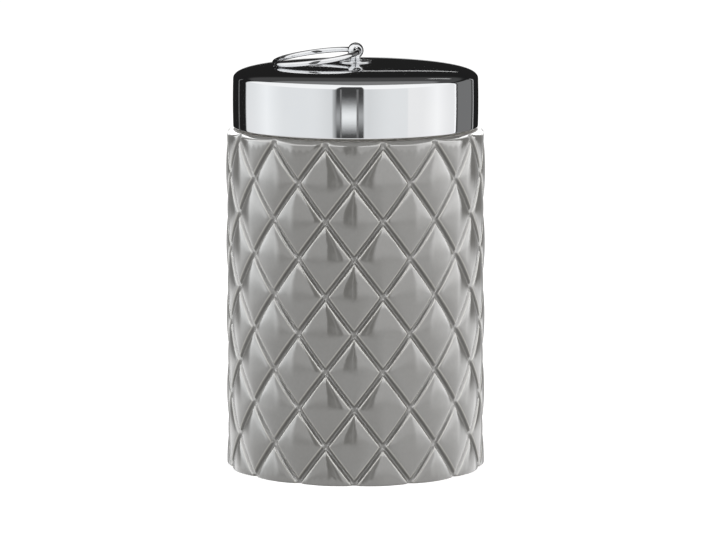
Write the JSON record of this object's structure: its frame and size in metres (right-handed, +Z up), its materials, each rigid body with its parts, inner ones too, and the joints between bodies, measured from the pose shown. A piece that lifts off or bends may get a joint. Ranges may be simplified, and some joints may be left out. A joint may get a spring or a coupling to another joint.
{
  "type": "cotton pad holder",
  "caption": "Round glazed ceramic jar with diamond-quilted sides and a slip-over metal lid, lifted by a ring through a ball knob.",
  "frame": {"origin": "centre of the foot ring's underside, on the surface that the jar stands on", "axes": "+Z up along the jar's axis; -Y is the front seen in the picture; +X to the right"},
  "size_m": [0.0794, 0.0794, 0.1302],
  "materials": {
    "glaze": "gloss",
    "chrome": "polished",
    "seal": "satin",
    "liner": "matte",
    "steel": "satin"
  },
  "bodies": {
    "jar": {"jar_body": "glaze"},
    "seal": {"seal_ring": "seal"},
    "lid": {"lid_shell": "chrome", "lid_liner": "liner", "knob_flange": "chrome", "knob_post": "chrome", "flat_washer": "steel", "spring_washer": "steel", "stud_nut": "steel"},
    "ring": {"pull_ring": "chrome"}
  },
  "joints": [
    {"name": "lid_turn", "type": "hinge", "parent": "jar", "child": "seal", "pos_m": [0, 0, 0.11], "axis": [0, 0, 1], "continuous": true},
    {"name": "lid_lift", "type": "slide", "parent": "seal", "child": "lid", "axis": [0, 0, 1], "range_m": [0, 0.1]},
    {"name": "ring_swing", "type": "hinge", "parent": "lid", "child": "ring", "pos_m": [0, 0, 0.12777], "axis": [-0.2588, 0.9659, 0], "range_deg": [0, 195.4]}
  ]
}
